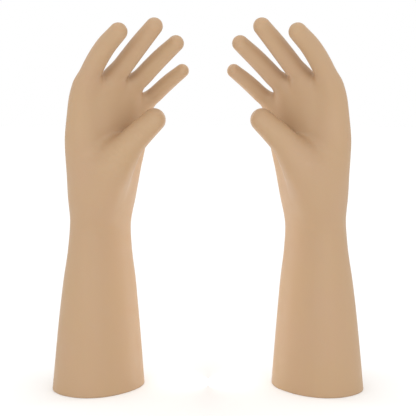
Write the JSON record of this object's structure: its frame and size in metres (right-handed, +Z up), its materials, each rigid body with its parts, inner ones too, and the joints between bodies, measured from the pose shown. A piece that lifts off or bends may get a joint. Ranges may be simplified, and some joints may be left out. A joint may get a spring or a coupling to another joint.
{
  "type": "electrical insulating gloves",
  "caption": "Matched left and right long-cuffed dipped rubber gloves with curved fingers that insulate hands and forearms from live electrical parts.",
  "frame": {"origin": "on the surface the gloves stand on, midway between the two cuffs and midway along the depth of the pair", "axes": "+Z up from the cuffs to the fingertips, +X from the left-hand glove to the right-hand glove, +Y away from the side the palms open to"},
  "size_m": [0.3302, 0.1319, 0.3901],
  "materials": {
    "natural_rubber": "satin"
  },
  "bodies": {
    "left_arm": {"left_gauntlet": "natural_rubber", "left_wrist_flex": "natural_rubber"},
    "left_palm": {"left_hand": "natural_rubber", "left_index_root_flex": "natural_rubber", "left_middle_root_flex": "natural_rubber", "left_ring_root_flex": "natural_rubber", "left_little_root_flex": "natural_rubber", "left_thumb_root_flex": "natural_rubber"},
    "left_index_near": {"left_index_base": "natural_rubber", "left_index_mid_flex": "natural_rubber"},
    "left_index_far": {"left_index_tip": "natural_rubber"},
    "left_middle_near": {"left_middle_base": "natural_rubber", "left_middle_mid_flex": "natural_rubber"},
    "left_middle_far": {"left_middle_tip": "natural_rubber"},
    "left_ring_near": {"left_ring_base": "natural_rubber", "left_ring_mid_flex": "natural_rubber"},
    "left_ring_far": {"left_ring_tip": "natural_rubber"},
    "left_little_near": {"left_little_base": "natural_rubber", "left_little_mid_flex": "natural_rubber"},
    "left_little_far": {"left_little_tip": "natural_rubber"},
    "left_thumb_near": {"left_thumb_base": "natural_rubber", "left_thumb_tip_flex": "natural_rubber"},
    "left_thumb_far": {"left_thumb_tip": "natural_rubber"},
    "right_arm": {"right_gauntlet": "natural_rubber", "right_wrist_flex": "natural_rubber"},
    "right_palm": {"right_hand": "natural_rubber", "right_index_root_flex": "natural_rubber", "right_middle_root_flex": "natural_rubber", "right_ring_root_flex": "natural_rubber", "right_little_root_flex": "natural_rubber", "right_thumb_root_flex": "natural_rubber"},
    "right_index_near": {"right_index_base": "natural_rubber", "right_index_mid_flex": "natural_rubber"},
    "right_index_far": {"right_index_tip": "natural_rubber"},
    "right_middle_near": {"right_middle_base": "natural_rubber", "right_middle_mid_flex": "natural_rubber"},
    "right_middle_far": {"right_middle_tip": "natural_rubber"},
    "right_ring_near": {"right_ring_base": "natural_rubber", "right_ring_mid_flex": "natural_rubber"},
    "right_ring_far": {"right_ring_tip": "natural_rubber"},
    "right_little_near": {"right_little_base": "natural_rubber", "right_little_mid_flex": "natural_rubber"},
    "right_little_far": {"right_little_tip": "natural_rubber"},
    "right_thumb_near": {"right_thumb_base": "natural_rubber", "right_thumb_tip_flex": "natural_rubber"},
    "right_thumb_far": {"right_thumb_tip": "natural_rubber"}
  },
  "joints": [
    {"name": "left_wrist_bend", "type": "hinge", "parent": "left_arm", "child": "left_palm", "pos_m": [-0.11422, 0.01546, 0.176], "axis": [0.6428, 0.766, 0], "range_deg": [-20, 30], "stiffness_Nm_per_rad": 8, "deforming": ["left_wrist_flex"]},
    {"name": "left_index_root_bend", "type": "hinge", "parent": "left_palm", "child": "left_index_near", "pos_m": [-0.11882, -0.02728, 0.33415], "axis": [0.6403, 0.7631, 0.0872], "range_deg": [-15, 35], "stiffness_Nm_per_rad": 0.5, "deforming": ["left_index_root_flex"]},
    {"name": "left_index_mid_bend", "type": "hinge", "parent": "left_index_near", "child": "left_index_far", "pos_m": [-0.10353, -0.04297, 0.35913], "axis": [0.6403, 0.7631, 0.0872], "range_deg": [-15, 45], "stiffness_Nm_per_rad": 0.3, "deforming": ["left_index_mid_flex"]},
    {"name": "left_middle_root_bend", "type": "hinge", "parent": "left_palm", "child": "left_middle_near", "pos_m": [-0.08878, -0.01747, 0.33957], "axis": [0.6419, 0.765, -0.0523], "range_deg": [-15, 30], "stiffness_Nm_per_rad": 0.5, "deforming": ["left_middle_root_flex"]},
    {"name": "left_middle_mid_bend", "type": "hinge", "parent": "left_middle_near", "child": "left_middle_far", "pos_m": [-0.06953, -0.03201, 0.36305], "axis": [0.6419, 0.765, -0.0523], "range_deg": [-15, 40], "stiffness_Nm_per_rad": 0.3, "deforming": ["left_middle_mid_flex"]},
    {"name": "left_ring_root_bend", "type": "hinge", "parent": "left_palm", "child": "left_ring_near", "pos_m": [-0.06869, -0.00365, 0.33067], "axis": [0.6365, 0.7586, -0.1392], "range_deg": [-15, 28], "stiffness_Nm_per_rad": 0.5, "deforming": ["left_ring_root_flex"]},
    {"name": "left_ring_mid_bend", "type": "hinge", "parent": "left_ring_near", "child": "left_ring_far", "pos_m": [-0.04903, -0.01653, 0.35042], "axis": [0.6365, 0.7586, -0.1392], "range_deg": [-15, 35], "stiffness_Nm_per_rad": 0.3, "deforming": ["left_ring_mid_flex"]},
    {"name": "left_little_root_bend", "type": "hinge", "parent": "left_palm", "child": "left_little_near", "pos_m": [-0.05675, 0.01396, 0.31217], "axis": [0.6209, 0.7399, -0.2588], "range_deg": [-15, 25], "stiffness_Nm_per_rad": 0.5, "deforming": ["left_little_root_flex"]},
    {"name": "left_little_mid_bend", "type": "hinge", "parent": "left_little_near", "child": "left_little_far", "pos_m": [-0.04041, 0.00546, 0.32705], "axis": [0.6209, 0.7399, -0.2588], "range_deg": [-15, 35], "stiffness_Nm_per_rad": 0.3, "deforming": ["left_little_mid_flex"]},
    {"name": "left_thumb_root_bend", "type": "hinge", "parent": "left_palm", "child": "left_thumb_near", "pos_m": [-0.07716, -0.02371, 0.26611], "axis": [-0.683, -0.4408, 0.5825], "range_deg": [-12, 12], "stiffness_Nm_per_rad": 0.8, "deforming": ["left_thumb_root_flex"]},
    {"name": "left_thumb_tip_bend", "type": "hinge", "parent": "left_thumb_near", "child": "left_thumb_far", "pos_m": [-0.06443, -0.0222, 0.27874], "axis": [-0.683, -0.4408, 0.5825], "range_deg": [-10, 25], "stiffness_Nm_per_rad": 0.5, "deforming": ["left_thumb_tip_flex"]},
    {"name": "right_wrist_bend", "type": "hinge", "parent": "right_arm", "child": "right_palm", "pos_m": [0.11422, 0.01546, 0.176], "axis": [0.6428, -0.766, 0], "range_deg": [-20, 30], "stiffness_Nm_per_rad": 8, "deforming": ["right_wrist_flex"]},
    {"name": "right_index_root_bend", "type": "hinge", "parent": "right_palm", "child": "right_index_near", "pos_m": [0.11882, -0.02728, 0.33415], "axis": [0.6403, -0.7631, -0.0872], "range_deg": [-15, 35], "stiffness_Nm_per_rad": 0.5, "deforming": ["right_index_root_flex"]},
    {"name": "right_index_mid_bend", "type": "hinge", "parent": "right_index_near", "child": "right_index_far", "pos_m": [0.10353, -0.04297, 0.35913], "axis": [0.6403, -0.7631, -0.0872], "range_deg": [-15, 45], "stiffness_Nm_per_rad": 0.3, "deforming": ["right_index_mid_flex"]},
    {"name": "right_middle_root_bend", "type": "hinge", "parent": "right_palm", "child": "right_middle_near", "pos_m": [0.08878, -0.01747, 0.33957], "axis": [0.6419, -0.765, 0.0523], "range_deg": [-15, 30], "stiffness_Nm_per_rad": 0.5, "deforming": ["right_middle_root_flex"]},
    {"name": "right_middle_mid_bend", "type": "hinge", "parent": "right_middle_near", "child": "right_middle_far", "pos_m": [0.06953, -0.03201, 0.36305], "axis": [0.6419, -0.765, 0.0523], "range_deg": [-15, 40], "stiffness_Nm_per_rad": 0.3, "deforming": ["right_middle_mid_flex"]},
    {"name": "right_ring_root_bend", "type": "hinge", "parent": "right_palm", "child": "right_ring_near", "pos_m": [0.06869, -0.00365, 0.33067], "axis": [0.6365, -0.7586, 0.1392], "range_deg": [-15, 28], "stiffness_Nm_per_rad": 0.5, "deforming": ["right_ring_root_flex"]},
    {"name": "right_ring_mid_bend", "type": "hinge", "parent": "right_ring_near", "child": "right_ring_far", "pos_m": [0.04903, -0.01653, 0.35042], "axis": [0.6365, -0.7586, 0.1392], "range_deg": [-15, 35], "stiffness_Nm_per_rad": 0.3, "deforming": ["right_ring_mid_flex"]},
    {"name": "right_little_root_bend", "type": "hinge", "parent": "right_palm", "child": "right_little_near", "pos_m": [0.05675, 0.01396, 0.31217], "axis": [0.6209, -0.7399, 0.2588], "range_deg": [-15, 25], "stiffness_Nm_per_rad": 0.5, "deforming": ["right_little_root_flex"]},
    {"name": "right_little_mid_bend", "type": "hinge", "parent": "right_little_near", "child": "right_little_far", "pos_m": [0.04041, 0.00546, 0.32705], "axis": [0.6209, -0.7399, 0.2588], "range_deg": [-15, 35], "stiffness_Nm_per_rad": 0.3, "deforming": ["right_little_mid_flex"]},
    {"name": "right_thumb_root_bend", "type": "hinge", "parent": "right_palm", "child": "right_thumb_near", "pos_m": [0.07716, -0.02371, 0.26611], "axis": [-0.683, 0.4408, -0.5825], "range_deg": [-12, 12], "stiffness_Nm_per_rad": 0.8, "deforming": ["right_thumb_root_flex"]},
    {"name": "right_thumb_tip_bend", "type": "hinge", "parent": "right_thumb_near", "child": "right_thumb_far", "pos_m": [0.06443, -0.0222, 0.27874], "axis": [-0.683, 0.4408, -0.5825], "range_deg": [-10, 25], "stiffness_Nm_per_rad": 0.5, "deforming": ["right_thumb_tip_flex"]},
    {"name": "right_glove_lift", "type": "slide", "parent": "left_arm", "child": "right_arm", "axis": [0, 0, 1], "range_m": [0, 0.12]}
  ]
}
